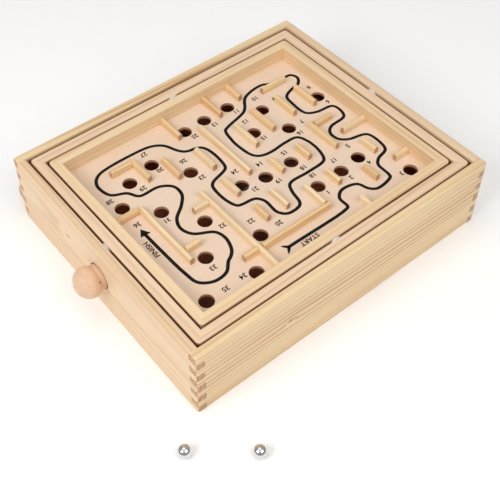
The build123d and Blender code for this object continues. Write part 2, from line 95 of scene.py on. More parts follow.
def make_camera():
    data = bpy.data.cameras.new("camera")
    data.lens = CAMERA_LENS
    data.shift_x, data.shift_y = CAMERA_SHIFT
    data.clip_start, data.clip_end = 0.01, 50
    camera = link(bpy.data.objects.new("camera", data))
    back = direction(CAMERA_AZIMUTH, CAMERA_ELEVATION)
    camera.location = Vector(CAMERA_TARGET) + back * CAMERA_DISTANCE
    camera.rotation_mode = "QUATERNION"
    roll = Quaternion((0, 0, 1), math.radians(CAMERA_ROLL))
    camera.rotation_quaternion = (-back).to_track_quat("-Z", "Y") @ roll
    bpy.context.scene.camera = camera


def make_lamp(name, azimuth, elevation, distance, size, power):
    data = bpy.data.lights.new(name, "AREA")
    data.shape = "SQUARE"
    data.size = size
    data.energy = power
    lamp = link(bpy.data.objects.new(name, data))
    back = direction(azimuth, elevation)
    lamp.location = back * distance
    lamp.rotation_mode = "QUATERNION"
    lamp.rotation_quaternion = (-back).to_track_quat("-Z", "Y")


def make_world():
    """A soft studio: a white backdrop, and a dimmer light that is brighter overhead."""
    world = bpy.data.worlds.new("studio")
    bpy.context.scene.world = world
    world.use_nodes = True
    tree = world.node_tree
    background = tree.nodes["Background"]
    background.inputs["Color"].default_value = WARM_WHITE
    height = tree.nodes.new("ShaderNodeSeparateXYZ")
    tree.links.new(tree.nodes.new("ShaderNodeTexCoord").outputs["Generated"], height.inputs[0])
    glow = tree.nodes.new("ShaderNodeMapRange")
    glow.inputs["To Min"].default_value = SKY_LOW
    glow.inputs["To Max"].default_value = SKY_HIGH
    tree.links.new(height.outputs["Z"], glow.inputs["Value"])
    strength = tree.nodes.new("ShaderNodeMix")
    strength.inputs["B"].default_value = BACKDROP
    seen = tree.nodes.new("ShaderNodeLightPath").outputs["Is Camera Ray"]
    tree.links.new(seen, strength.inputs["Factor"])
    tree.links.new(glow.outputs["Result"], strength.inputs["A"])
    tree.links.new(strength.outputs["Result"], background.inputs["Strength"])
    bpy.context.scene.view_settings.view_transform = "Standard"


# ---- Materials ----------------------------------------------------------------------------------

class Graph:
    """A material's node tree, with short calls that add nodes and return their outputs."""

    def __init__(self, name):
        self.material = bpy.data.materials.new(name)
        self.material.use_nodes = True
        self.tree = self.material.node_tree
        self.shader = self.tree.nodes["Principled BSDF"]
        coordinates = self.add("ShaderNodeTexCoord")
        self.place = coordinates.outputs["Object"]
        self.normal = coordinates.outputs["Normal"]

    def add(self, kind, **settings):
        made = self.tree.nodes.new(kind)
        for key, value in settings.items():
            setattr(made, key, value)
        return made

    def put(self, value, socket):
        if isinstance(value, bpy.types.NodeSocket):
            self.tree.links.new(value, socket)
        else:
            socket.default_value = value

    def math(self, operation, *values):
        made = self.add("ShaderNodeMath", operation=operation)
        for value, socket in zip(values, made.inputs):
            self.put(value, socket)
        return made.outputs[0]

    def vector(self, operation, *values):
        made = self.add("ShaderNodeVectorMath", operation=operation)
        for value, socket in zip(values, made.inputs):
            self.put(value, socket)
        return made.outputs["Value" if operation in ("DOT_PRODUCT", "LENGTH", "DISTANCE") else 0]

    def stretched(self, scales):
        """The object's coordinates, each multiplied by its own scale."""
        return self.vector("MULTIPLY", self.place, scales)

    def facing(self, axis):
        """How squarely the surface faces along an axis, from 0 to 1."""
        return self.math("ABSOLUTE", self.vector("DOT_PRODUCT", self.normal, AXES[axis]))

    def along(self, axis):
        """Distance along an axis from the frame's origin."""
        return self.vector("DOT_PRODUCT", self.place, AXES[axis])

    def noise(self, vector, scale=1.0, detail=2.0, roughness=0.5):
        made = self.add("ShaderNodeTexNoise")
        self.put(vector, made.inputs["Vector"])
        for name, value in (("Scale", scale), ("Detail", detail), ("Roughness", roughness)):
            made.inputs[name].default_value = value
        return made.outputs["Fac"]

    def ramp(self, factor, *stops):
        """A smooth grey-scale curve through (position, value) stops."""
        made = self.add("ShaderNodeValToRGB")
        made.color_ramp.interpolation = "EASE"
        elements = made.color_ramp.elements
        while len(elements) < len(stops):
            elements.new(0.5)
        for element, (position, value) in zip(elements, stops):
            element.position = position
            element.color = (value, value, value, 1)
        self.put(factor, made.inputs["Fac"])
        return made.outputs["Color"]

    def mix(self, factor, first, second):
        made = self.add("ShaderNodeMix", data_type="RGBA")
        self.put(factor, made.inputs["Factor"])
        for value, socket in zip((first, second), [s for s in made.inputs if s.type == "RGBA"]):
            self.put(value, socket)
        return [s for s in made.outputs if s.type == "RGBA"][0]

    def bump(self, height, strength, distance):
        made = self.add("ShaderNodeBump")
        made.inputs["Strength"].default_value = strength
        made.inputs["Distance"].default_value = distance
        self.put(height, made.inputs["Height"])
        self.put(made.outputs["Normal"], self.shader.inputs["Normal"])

    def set(self, **values):
        for name, value in values.items():
            self.put(value, self.shader.inputs[name.replace("_", " ")])
        return self.material


def colour(red, green, blue):
    """A colour as it looks on screen, 0 to 255, in the linear units that shaders use."""
    def linear(value):
        value /= 255
        return value / 12.92 if value <= 0.04045 else ((value + 0.055) / 1.055) ** 2.4
    return (linear(red), linear(green), linear(blue), 1)


AXES = {"x": (1, 0, 0), "y": (0, 1, 0), "z": (0, 0, 1)}


def across(axis, along, side):
    """Scales for the three coordinates: one along the grain's axis and another across it."""
    return tuple(along if own else side for own in AXES[axis])


def joint_place(name):
    return next(joint for joint in frame["joints"] if joint["name"] == name)["pos_m"]


# A point counts as on a face when it lies within this distance of it
SKIN = 0.2 * MM
RECESS_R = 11.6 * MM
TRAY_X, TRAY_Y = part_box("tray_rim_right")[1].x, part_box("tray_rim_back")[1].y
INNER_X, INNER_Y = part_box("wall_right")[0].x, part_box("wall_back")[0].y
# The sides of the gaps get painted shade from just under the rails' top, darkening over this depth
GAP_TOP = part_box("frame_rail_back")[1].z - 0.6 * MM
GAP_FADE = 2.5 * MM
PLY = 1.0 * MM
PORE = colour(168, 116, 72)
WARM_PATCH = colour(230, 186, 152)
END_GRAIN_LIGHT = colour(214, 170, 128)
END_GRAIN_DARK = colour(160, 112, 76)
KNOT_HEART = colour(126, 80, 46)
# Painted shade, a dark reddish brown, for the gaps round the frames and the wall recesses round the
# knobs
PAINTED_SHADE = colour(156, 90, 58)


def ring_count(g, grain, heart, spacing, knots):
    """How many growth rings lie inside each point, and a mask of the knots they flow round."""
    radial = g.vector("MULTIPLY", g.vector("SUBTRACT", g.place, heart), across(grain, 0, 1))
    radius = g.vector("LENGTH", radial)
    waver = g.noise(g.stretched(across(grain, 3, 24)), detail=2)
    radius = g.math("ADD", radius, g.math("MULTIPLY", waver, 2.4 * spacing))
    radius = g.math("ADD", radius, g.math("MULTIPLY", g.along(grain), 0.012))
    mask = None
    for x, y, z, size in knots:
        offset = g.vector("MULTIPLY", g.vector("SUBTRACT", g.place, (x, y, z)), across(grain, 0.4, 1))
        distance = g.vector("LENGTH", offset)
        swell = g.math("ADD", g.math("POWER", distance, 2.0), size * size)
        radius = g.math("ADD", radius, g.math("DIVIDE", 2 * spacing * size * size, swell))
        core = g.ramp(g.math("DIVIDE", distance, 2 * size), (0.0, 1.0), (0.35, 0.7), (0.8, 0.0))
        mask = core if mask is None else g.math("MAXIMUM", mask, core)
    uneven = g.noise(g.stretched(across(grain, 0.5, 35)), detail=2)
    count = g.math("ADD", g.math("DIVIDE", radius, spacing), g.math("MULTIPLY", uneven, 1.8))
    return count, mask


def gap_shade_mask(g):
    """How deep a point lies in the gaps round the tilting frames, from 0 to 1: the weight of the
    painted shade there.
    """
    x, y = [g.math("ABSOLUTE", g.along(axis)) for axis in "xy"]
    past_tray = g.math("MAXIMUM", g.math("SUBTRACT", x, TRAY_X), g.math("SUBTRACT", y, TRAY_Y))
    past_wall = g.math("MAXIMUM", g.math("SUBTRACT", x, INNER_X), g.math("SUBTRACT", y, INNER_Y))
    between = g.math("MULTIPLY", g.math("GREATER_THAN", past_tray, -SKIN),
                     g.math("LESS_THAN", past_wall, SKIN))
    depth = g.math("DIVIDE", g.math("SUBTRACT", GAP_TOP, g.along("z")), GAP_FADE)
    upright = g.math("LESS_THAN", g.facing("z"), 0.3)
    return g.math("MULTIPLY", g.math("MULTIPLY", between, upright), g.ramp(depth, (0, 0), (1, 0.9)))


def recess_shade_mask(g, axis):
    """1 on the wall's recess round the knob on a shaft along an axis, where shade is painted, 0
    elsewhere.
    """
    offset = g.vector("SUBTRACT", g.place, joint_place(f"shaft_{axis}_spin"))
    radius = g.vector("LENGTH", g.vector("MULTIPLY", offset, across(axis, 0, 1)))
    return g.math("LESS_THAN", radius, RECESS_R + SKIN)


def pine(name, grain, heart, light, dark, spacing=4.5 * MM, contrast=0.6, knots=(), gaps=False,
         recess=None):
    """Planed softwood. Growth rings lie round a line along the grain through heart, so a board
    shows straight lines on one face, broad figure on the next and arcs on its end grain."""
    g = Graph(name)
    count, knot_mask = ring_count(g, grain, heart, spacing, knots)
    ring = g.ramp(g.math("FRACT", count), (0.0, 0.08), (0.45, 0.2), (0.84, 1.0), (1.0, 0.08))
    strength = g.noise(g.stretched(across(grain, 1, 60)), detail=1)
    ring = g.math("MULTIPLY", ring, g.ramp(strength, (0.3, 0.35), (0.65, 1.0)))

    fibre = g.noise(g.stretched(across(grain, 40, 1500)), detail=3, roughness=0.6)
    pore = g.ramp(g.noise(g.stretched(across(grain, 120, 2600)), detail=1), (0.62, 0.0), (0.78, 1.0))
    tone = g.noise(g.stretched(across(grain, 5, 45)), detail=3)
    figure = g.math("MULTIPLY", ring, contrast)
    figure = g.math("ADD", figure, g.math("MULTIPLY", g.math("SUBTRACT", fibre, 0.5), 0.55))
    figure = g.math("ADD", figure, g.math("MULTIPLY", g.math("SUBTRACT", tone, 0.5), 0.9))
    face = g.mix(figure, light, dark)
    face = g.mix(g.math("MULTIPLY", pore, 0.20), face, PORE)

    grit = g.noise(g.place, scale=1500, detail=2)
    end_figure = g.math("ADD", g.math("MULTIPLY", ring, 0.8), g.math("MULTIPLY", grit, 0.5))
    end_face = g.mix(end_figure, END_GRAIN_LIGHT, END_GRAIN_DARK)
    face = g.mix(g.ramp(g.facing(grain), (0.55, 0.0), (0.85, 1.0)), face, end_face)
    if knot_mask is not None:
        face = g.mix(g.math("MULTIPLY", knot_mask, 0.85), face, KNOT_HEART)
    # Painted shade down the sides of the gaps round the tilting frames
    if gaps:
        face = g.mix(gap_shade_mask(g), face, PAINTED_SHADE)
    # Painted shade in the wall's recess round the knob
    if recess:
        face = g.mix(recess_shade_mask(g, recess), face, PAINTED_SHADE)
    g.put(face, g.shader.inputs["Base Color"])
    g.put(g.math("ADD", g.math("MULTIPLY", fibre, 0.22), 0.38), g.shader.inputs["Roughness"])
    g.bump(g.math("ADD", g.math("MULTIPLY", ring, 0.5), fibre), 0.25, 0.12 * MM)
    return g.set(Coat_Weight=0.08, Coat_Roughness=0.35)


def beech_face(g, grain, light, dark, fleck, blotch):
    """Fine-grained beech: an even tone with soft blotches and short dark flecks along the grain."""
    tone = g.noise(g.stretched(across(grain, blotch / 3, blotch)), detail=4, roughness=0.6)
    streak = g.noise(g.stretched(across(grain, 12, 420)), detail=3, roughness=0.65)
    dash = g.ramp(g.noise(g.stretched(across(grain, 330, 2100)), detail=1), (0.60, 0.0), (0.74, 1.0))
    figure = g.math("ADD", g.math("MULTIPLY", tone, 0.9), g.math("MULTIPLY", streak, 0.55))
    face = g.mix(g.math("SUBTRACT", figure, 0.25), light, dark)
    face = g.mix(g.math("MULTIPLY", dash, 0.30 * fleck), face, PORE)
    g.put(g.math("ADD", g.math("MULTIPLY", streak, 0.2), 0.35), g.shader.inputs["Roughness"])
    g.bump(g.math("ADD", streak, g.math("MULTIPLY", dash, -0.6)), 0.18, 0.08 * MM)
    return face


def beech(name, grain, light, dark):
    """A turned piece of beech, with warm patches, and painted shade where it lies in the wall's
    recess.
    """
    g = Graph(name)
    face = beech_face(g, grain, light, dark, fleck=1.0, blotch=110)
    patch = g.ramp(g.noise(g.stretched(across(grain, 55, 130)), detail=2), (0.42, 0.0), (0.62, 1.0))
    face = g.mix(g.math("MULTIPLY", patch, 0.4), face, WARM_PATCH)
    # Painted shade on the part of the knob that lies inside the wall's recess
    half_x, half_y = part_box("wall_right")[1].x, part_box("wall_back")[1].y
    sunk_shade = g.math("MULTIPLY", g.math("LESS_THAN", g.along("x"), half_x),
                  g.math("GREATER_THAN", g.along("y"), -half_y))
    g.put(g.mix(sunk_shade, face, PAINTED_SHADE), g.shader.inputs["Base Color"])
    return g.set(Coat_Weight=0.12, Coat_Roughness=0.3)


def plywood(name, light, dark, ply_light, ply_dark):
    """A beech-faced sheet whose edges, in holes too, show its dark glue lines."""
    g = Graph(name)
    face = beech_face(g, "x", light, dark, fleck=0.6, blotch=16)
    layer = g.ramp(g.math("FRACT", g.math("DIVIDE", g.along("z"), PLY)),
                   (0.0, 1.0), (0.2, 0.0), (0.8, 0.0), (1.0, 1.0))
    edge = g.ramp(g.facing("z"), (0.2, 1.0), (0.6, 0.0))
    g.put(g.mix(edge, face, g.mix(layer, ply_light, ply_dark)), g.shader.inputs["Base Color"])
    return g.set(Coat_Weight=0.1, Coat_Roughness=0.3)


def metal(name, tint, roughness, brushed_along=None):
    """Bright metal with faint drawing marks along an axis, or an even polish."""
    g = Graph(name)
    scales = across(brushed_along, 60, 3000) if brushed_along else (900, 900, 900)
    marks = g.noise(g.stretched(scales), detail=3)
    g.put(g.math("ADD", g.math("MULTIPLY", marks, roughness), roughness * 0.6),
          g.shader.inputs["Roughness"])
    g.put(g.mix(marks, tint, tuple(0.85 * c for c in tint[:3]) + (1,)), g.shader.inputs["Base Color"])
    g.bump(marks, 0.06, 0.02 * MM)
    return g.set(Metallic=1.0)


def nylon():
    """Milky spacer plastic with a fine moulded texture."""
    g = Graph("nylon_material")
    grain = g.noise(g.place, scale=1200, detail=2)
    g.put(g.mix(grain, colour(236, 228, 232), colour(216, 205, 212)), g.shader.inputs["Base Color"])
    g.put(g.math("ADD", g.math("MULTIPLY", grain, 0.2), 0.4), g.shader.inputs["Roughness"])
    g.bump(grain, 0.1, 0.03 * MM)
    return g.set(Subsurface_Weight=0.15, Subsurface_Scale=1.5 * MM)


def ink():
    """Screen-printed black ink, a little uneven where the grain shows through."""
    g = Graph("ink_material")
    wear = g.noise(g.stretched((260, 1400, 1400)), detail=3)
    g.put(g.mix(g.ramp(wear, (0.4, 0.0), (0.8, 1.0)), colour(14, 9, 9), colour(34, 25, 22)),
          g.shader.inputs["Base Color"])
    g.put(g.math("ADD", g.math("MULTIPLY", wear, 0.2), 0.5), g.shader.inputs["Roughness"])
    g.bump(wear, 0.15, 0.02 * MM)
    return g.set(Specular_IOR_Level=0.2)


def braid():
    """Black nylon cord with a fine plaited surface."""
    g = Graph("braid_material")
    weave = g.add("ShaderNodeTexVoronoi")
    g.put(g.place, weave.inputs["Vector"])
    weave.inputs["Scale"].default_value = 4200
    strand = weave.outputs["Distance"]
    g.put(g.mix(strand, colour(62, 60, 62), colour(18, 18, 20)), g.shader.inputs["Base Color"])
    g.put(g.math("ADD", g.math("MULTIPLY", strand, 0.2), 0.55), g.shader.inputs["Roughness"])
    g.bump(strand, 0.5, -0.06 * MM)
    return g.set(Sheen_Weight=0.3)


def studio_floor():
    g = Graph("floor_material")
    grain = g.noise(g.place, scale=6, detail=4)
    g.put(g.mix(grain, (0.95, 0.95, 0.95, 1), (0.98, 0.98, 0.98, 1)), g.shader.inputs["Base Color"])
    g.put(g.math("ADD", g.math("MULTIPLY", grain, 0.1), 0.75), g.shader.inputs["Roughness"])
    return g.set(Specular_IOR_Level=0.2, Emission_Color=WHITE, Emission_Strength=0.08)


# ---- Building help --------------------------------------------------------------------------------

def mesh_object(name, verts, faces, material, smooth=False):
    mesh = bpy.data.meshes.new(name)
    mesh.from_pydata([tuple(v) for v in verts], [], faces)
    mesh.materials.append(material)
    for face in mesh.polygons:
        face.use_smooth = smooth
    return link(bpy.data.objects.new(name, mesh))


def paint(material, *names):
    """Give carried-over CAD nodes their material."""
    for name in names:
        for place in NODES[name].material_slots:
            place.material = material


def solids_of(node):
    """The box of each separate solid in a CAD node, found by walking over its mesh. Where two
    solids touch, four faces share an edge, and the walk doesn't cross it."""
    grid = bmesh.new()
    grid.from_mesh(NODES[node].data)
    bmesh.ops.remove_doubles(grid, verts=grid.verts, dist=0.001 * MM)
    left = set(grid.faces)
    boxes = []
    while left:
        reached = [left.pop()]
        corners = []
        while reached:
            face = reached.pop()
            corners += [v.co.copy() for v in face.verts]
            for edge in face.edges:
                if len(edge.link_faces) == 2:
                    fresh = left.intersection(edge.link_faces)
                    left -= fresh
                    reached += fresh
        boxes.append((Vector(map(min, zip(*corners))), Vector(map(max, zip(*corners)))))
    grid.free()
    return sorted(boxes, key=lambda box: tuple(box[0]))


# ---- Wood -----------------------------------------------------------------------------------------

PINE_LIGHT = colour(241, 213, 169)
PINE_DARK = colour(198, 148, 94)
CREAM_LIGHT = colour(236, 207, 171)
CREAM_DARK = colour(208, 162, 114)
RAIL_LIGHT = colour(242, 213, 179)
RAIL_DARK = colour(208, 160, 120)
RIM_LIGHT = colour(242, 213, 172)
RIM_DARK = colour(212, 166, 114)


def paint_box():
    paint(pine("pine_back", "x", (0, 0.105, 0.088), PINE_LIGHT, PINE_DARK, contrast=1.0,
               knots=[(0.062, 0.125, 0.038, 1.1 * MM)], gaps=True), "wall_back")
    paint(pine("pine_front", "x", (0, -0.150, 0.020), PINE_LIGHT, PINE_DARK, spacing=5.5 * MM,
               knots=[(-0.040, -0.125, 0.052, 1.5 * MM)], gaps=True, recess="y"), "wall_front")
    paint(pine("pine_right", "y", (0.190, 0, 0.045), CREAM_LIGHT, CREAM_DARK, contrast=0.55,
               knots=[(0.150, -0.044, 0.045, 1.0 * MM)], gaps=True, recess="x"), "wall_right")
    paint(pine("pine_left", "y", (-0.128, 0, 0.092), CREAM_LIGHT, CREAM_DARK,
               gaps=True), "wall_left")
    paint(pine("pine_ledge", "x", (0, -0.10, -0.03), PINE_LIGHT, PINE_DARK, spacing=3 * MM),
          "ball_ledge")
    paint(pine("pine_support", "y", (0.05, 0, 0.1), PINE_LIGHT, PINE_DARK), "floor_supports")
    sheet = plywood("base_plywood", colour(228, 196, 156), colour(200, 160, 116),
                    colour(206, 164, 122), colour(120, 78, 50))
    paint(sheet, "base_panel")
    # The return floor: plywood grain and edges as the real sheet has, in a reddish tint that is
    # painted shade for the view down the holes
    hole_shade_sheet = plywood("stained_plywood", colour(234, 142, 98), colour(188, 106, 72),
                      colour(234, 142, 98), colour(150, 84, 60))
    paint(hole_shade_sheet, "return_floor")


def paint_frames():
    for part, light, dark, height in (
            ("frame_rail", RAIL_LIGHT, RAIL_DARK, 0.030), ("tray_rim", RIM_LIGHT, RIM_DARK, 0.100)):
        for side, grain, heart in (
                ("back", "x", (0, 0.150, height)), ("front", "x", (0, -0.085, height)),
                ("right", "y", (0.160, 0, height)), ("left", "y", (-0.100, 0, height))):
            wood = pine(f"{part}_{side}_wood", grain, heart, light, dark, contrast=0.5, gaps=True)
            paint(wood, f"{part}_{side}")


def paint_knobs():
    for node in ("knob_x", "knob_y"):
        paint(beech(f"{node}_wood", "z", colour(240, 207, 177), colour(210, 168, 134)), node)


def paint_metal():
    steel = colour(196, 196, 200)
    paint(metal("steel_along_x", steel, 0.28, "x"), "shaft_x", "frame_pivot_pins", "shaft_x_clips")
    paint(metal("steel_along_y", steel, 0.28, "y"), "shaft_y", "tray_pivot_pins", "shaft_y_clips")
    paint(metal("dark_pin_steel", colour(96, 74, 60), 0.4), "knob_x_pin", "knob_y_pin")
    paint(metal("spring_steel", colour(206, 206, 210), 0.2), "spring_x", "spring_y", "base_screws")
    paint(metal("brassed_wire", colour(214, 176, 96), 0.25), "frame_screw_eyes", "tray_screw_eyes")
    paint(nylon(), "frame_pivot_spacers", "tray_pivot_spacers")


# ---- Maze strips ----------------------------------------------------------------------------------

STRIP_ROUND_R = 2.2 * MM
STRIP_EASE = 0.25 * MM
STRIP_ARC_STEPS = 7
# The light and dark wood of each tone
STRIP_TONES = [
    (colour(242, 211, 162), colour(208, 157, 100)),
    (colour(239, 203, 153), colour(200, 147, 92)),
    (colour(244, 219, 179), colour(218, 175, 124)),
]
# The place and size of the knot in one strip that runs along Y
STRIP_KNOT = (-0.0795, -0.005, 0.0605, 1.2 * MM)


def strip_outline(width, height, inset):
    """Round-topped outline of a strip as (across, up) points, drawn in by an inset."""
    half, shoulder = width / 2 - inset, height - STRIP_ROUND_R
    points = [(-half, 0)]
    for step in range(STRIP_ARC_STEPS + 1):
        turn = math.pi * step / STRIP_ARC_STEPS
        rise = (STRIP_ROUND_R - inset) * math.sin(turn)
        points.append((-half * math.cos(turn), shoulder + rise))
    return points + [(half, 0)]


def strip_shape(low, high, way):
    """Vertices and faces of a round-topped strip with eased ends that fills a box."""
    side = "y" if way == "x" else "x"
    start, end = getattr(low, way), getattr(high, way)
    middle = (getattr(low, side) + getattr(high, side)) / 2
    width = getattr(high, side) - getattr(low, side)
    rings = ((start, STRIP_EASE), (start + STRIP_EASE, 0), (end - STRIP_EASE, 0), (end, STRIP_EASE))
    verts, faces = [], []
    for along, inset in rings:
        for out, up in strip_outline(width, high.z - low.z, inset):
            place = (along, middle + out) if way == "x" else (middle - out, along)
            verts.append((*place, low.z + up))
    count = len(verts) // len(rings)
    for first in range(0, len(verts) - count, count):
        for i in range(count):
            j = (i + 1) % count
            faces.append([first + j, first + i, first + count + i, first + count + j])
    faces.append(list(range(count)))
    faces.append(list(range(len(verts) - 1, len(verts) - count - 1, -1)))
    return verts, faces


def strip_woods():
    """Strip wood in a few tones, each with its grain along X and along Y."""
    hearts = {"x": (0, -0.13, 0.10), "y": (0.15, 0, 0.09)}
    return [{way: pine(f"strip_wood_{way}_{i}", way, heart, light, dark, spacing=2.8 * MM,
                       contrast=0.55, knots=[STRIP_KNOT] if way == "y" else ())
             for way, heart in hearts.items()}
            for i, (light, dark) in enumerate(STRIP_TONES)]


def make_strips():
    """Every strip as its own piece of wood, with the grain along it."""
    woods = strip_woods()
    number = 0
    for node in [name for name in NODES if name.startswith("maze_") and name != "maze_panel"]:
        for low, high in solids_of(node):
            way = "x" if high.x - low.x > high.y - low.y else "y"
            tone = (number * 5 + number // 3) % len(woods)
            wood = woods[tone][way]
            number += 1
            strip = mesh_object(f"strip_{number}", *strip_shape(low, high, way), wood, smooth=True)
            strip.data.set_sharp_from_angle(angle=math.radians(40))
            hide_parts(node)
            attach(strip, "maze_tray")


# ---- Printing on the maze panel -------------------------------------------------------------------

LINE_WIDTH = 2.9 * MM
TAIL_WIDTHS = [LINE_WIDTH, 2.4 * MM, 0.9 * MM]
INK_SINK = 0.02 * MM
INK_RISE = 0.06 * MM
PANEL_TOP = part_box("maze_panel")[1].z
PRINT_LOW = PANEL_TOP - INK_SINK
PRINT_HIGH = PANEL_TOP + INK_RISE
TEXT_SIZE = 6.2 * MM
TEXT_BOLD = 0.14 * MM

# The route's line, in millimetres on the panel, from the start mark to the arrow at the finish
ROUTE = [
    (27, 80.5), (-36, 80), (-38.5, 78.5), (-39.5, 68), (-47, 62.5), (-61.5, 65.5), (-65.5, 75),
    (-71, 79.5), (-85, 78.5), (-89, 76.5), (-90, 72.5), (-91, 60.5), (-96.5, 55.5),
    (-108.5, 51.5), (-111.5, 42), (-110.5, 29.5), (-107, 26.5), (-92.5, 22.5), (-86, 16),
    (-86, 7), (-92, 1.5), (-110.5, -1.5), (-112, -17), (-95, -20.5), (-86.5, -26), (-86, -45),
    (-87, -51), (-90, -54.5), (-100, -58), (-107.5, -59.5), (-113, -66.5), (-110.5, -73.2),
    (-104, -74.2), (-91, -74.6), (-85, -77), (-81, -79.2), (-70, -79), (-57.5, -75), (-49, -65),
    (-45, -61.5), (-38, -59), (-22, -55), (-17, -52.5), (-14, -40), (-13.5, -32), (-15.5, -16),
    (-19, -11), (-24, -8.5), (-32, -7.5), (-48, -8.5), (-60, -7), (-64, 2), (-64, 16),
    (-60.5, 26.5), (-57, 29), (-40, 30), (-19, 30.5), (-14.5, 38), (-11.5, 51), (-8, 54),
    (4, 54), (9.5, 47.5), (9.5, 32), (14, 25.5), (26, 23.5), (30, 22), (33.5, 12), (33.5, -3),
    (32, -8), (28.5, -11), (15, -15), (11, -17.5), (8.5, -30), (9.5, -44), (12.3, -49.3),
    (16.5, -51.6), (23, -52.7),
    (27, -55), (30.5, -60), (36, -71.5), (45.5, -77.5), (65, -79.5), (93, -78.5), (100, -76),
    (104.5, -71.5), (106.5, -65), (103.5, -52), (91.5, -45), (87, -37.5), (84, -35.5),
    (67, -34.5), (57.5, -27), (57.5, -16), (65, -6.5), (76.5, 3), (80, 13), (76, 23), (61, 33),
    (58.5, 43), (62, 54.5), (66, 59), (71, 62), (79, 69.5), (91, 70.5), (101.5, 63.5),
    (104, 50), (105, 25), (105.4, 0),
]
# The two tips of the tail with the notch between them, and the corners of the arrow head
TAIL = [(30.5, 85.6), (26, 80.6), (30.5, 76.4)]
ARROW = [(100.8, 1.4), (109.8, 0.8), (105.3, -6.4)]

# Each number's centre, in millimetres on the panel
NUMBERS = [
    ("3", -98.8, 80), ("4", -87, 53.5), ("2", -63, 56.8), ("1", -36.8, 57), ("5", -86.5, 28),
    ("17", -65.5, 33), ("18", -40, 34.8), ("18", -40, 23.3), ("15", -39, 0), ("16", -66, -10),
    ("19", -14, 22), ("14", -14, -3), ("15", -37.5, -25), ("12", -38, -51), ("11", -40, -66),
    ("13", -15, -65), ("10", -64, -69), ("9", -77, -58), ("8", -112, -50), ("6", -112, -24.5),
    ("7", -76.5, -20), ("20", 16, 57), ("22", 32, 41.5), ("21", 7.5, 17), ("24", 8, -9),
    ("25", 8, -64), ("23", 33, -21), ("26", 34, -46), ("27", 55.5, -73.5), ("30", 55, -50),
    ("29", 78.5, -41.5), ("28", 108, -46), ("36", 104.5, -12), ("31", 83.5, -1), ("33", 84, 59.5),
    ("32", 52.5, 31), ("34", 71.5, 80), ("35", 89, 81),
]

# Each word's centre and the turn of its baseline in degrees
WORDS = [("START", 8.5, 85, 0), ("FINISH", 110, 16, -90)]


def smooth_path(points, steps=6):
    """A centripetal Catmull-Rom curve through the points."""
    path = [Vector(p) for p in points]
    path = [2 * path[0] - path[1]] + path + [2 * path[-1] - path[-2]]
    curve = []
    for p0, p1, p2, p3 in zip(path, path[1:], path[2:], path[3:]):
        t1 = (p1 - p0).length ** 0.5
        t2 = t1 + (p2 - p1).length ** 0.5
        t3 = t2 + (p3 - p2).length ** 0.5
        for step in range(steps):
            t = t1 + (t2 - t1) * step / steps
            a1 = p0.lerp(p1, t / t1)
            a2 = p1.lerp(p2, (t - t1) / (t2 - t1))
            a3 = p2.lerp(p3, (t - t2) / (t3 - t2))
            b1 = a1.lerp(a2, t / t2)
            b2 = a2.lerp(a3, (t - t1) / (t3 - t1))
            curve.append(b1.lerp(b2, (t - t1) / (t2 - t1)))
    return curve + [path[-2]]


def band(path, widths):
    """Left and right edge points of a band along a path, which may taper."""
    edges = []
    for i, point in enumerate(path):
        ahead = path[min(i + 1, len(path) - 1)] - path[max(i - 1, 0)]
        side = Vector((-ahead.y, ahead.x)).normalized() * widths[i] / 2
        edges.append((point + side, point - side))
    return edges


def printed_slab(outlines):
    """Vertices and faces of thin slabs over the given quads and triangles, in metres."""
    verts, faces = [], []
    for outline in outlines:
        first, count = len(verts), len(outline)
        verts += [(p.x, p.y, PRINT_LOW) for p in outline]
        verts += [(p.x, p.y, PRINT_HIGH) for p in outline]
        faces.append([first + count + i for i in range(count)])
        faces.append([first + count - 1 - i for i in range(count)])
        for i in range(count):
            j = (i + 1) % count
            faces.append([first + i, first + j, first + count + j, first + count + i])
    return verts, faces


def band_outlines(edges):
    left = [pair[0] for pair in edges]
    right = [pair[1] for pair in edges]
    return [left[::-1] + right]


def print_line(material):
    path = smooth_path([(x * MM, y * MM) for x, y in ROUTE])
    edges = band(path, [LINE_WIDTH] * len(path))
    verts, faces = [], []
    for left, right in edges:
        verts += [(left.x, left.y, PRINT_LOW), (right.x, right.y, PRINT_LOW),
                  (right.x, right.y, PRINT_HIGH), (left.x, left.y, PRINT_HIGH)]
    for i in range(len(edges) - 1):
        for k in range(4):
            a, b = 4 * i + k, 4 * i + (k + 1) % 4
            faces.append([a, a + 4, b + 4, b])
    last = 4 * (len(edges) - 1)
    faces += [[0, 1, 2, 3], [last + 3, last + 2, last + 1, last]]
    return mesh_object("printed_route", verts, faces, material)


def print_marks(material):
    """The split tail where the route starts and the arrow head where it ends."""
    tip_1, notch, tip_2 = [Vector(p) * MM for p in TAIL]
    outlines = []
    for tip in (tip_1, tip_2):
        path = [notch, notch.lerp(tip, 0.5), tip]
        outlines += band_outlines(band(path, TAIL_WIDTHS))
    outlines.append([Vector(p) * MM for p in ARROW][::-1])
    verts, faces = printed_slab(outlines)
    return mesh_object("printed_marks", verts, faces, material)


def text_mesh(words, x, y, turn):
    """A piece of printed text as a mesh, centred at x, y in millimetres on the panel."""
    data = bpy.data.curves.new("text", "FONT")
    data.body = words
    data.size = TEXT_SIZE
    data.align_x = "CENTER"
    data.align_y = "CENTER"
    data.extrude = (PRINT_HIGH - PRINT_LOW) / 2
    data.offset = TEXT_BOLD
    data.resolution_u = 4
    text = link(bpy.data.objects.new("text", data))
    text.location = (x * MM, y * MM, (PRINT_HIGH + PRINT_LOW) / 2)
    text.rotation_euler = (0, 0, math.radians(turn))
    bpy.context.view_layer.update()
    mesh = bpy.data.meshes.new_from_object(text)
    mesh.transform(text.matrix_world)
    bpy.data.objects.remove(text)
    return mesh


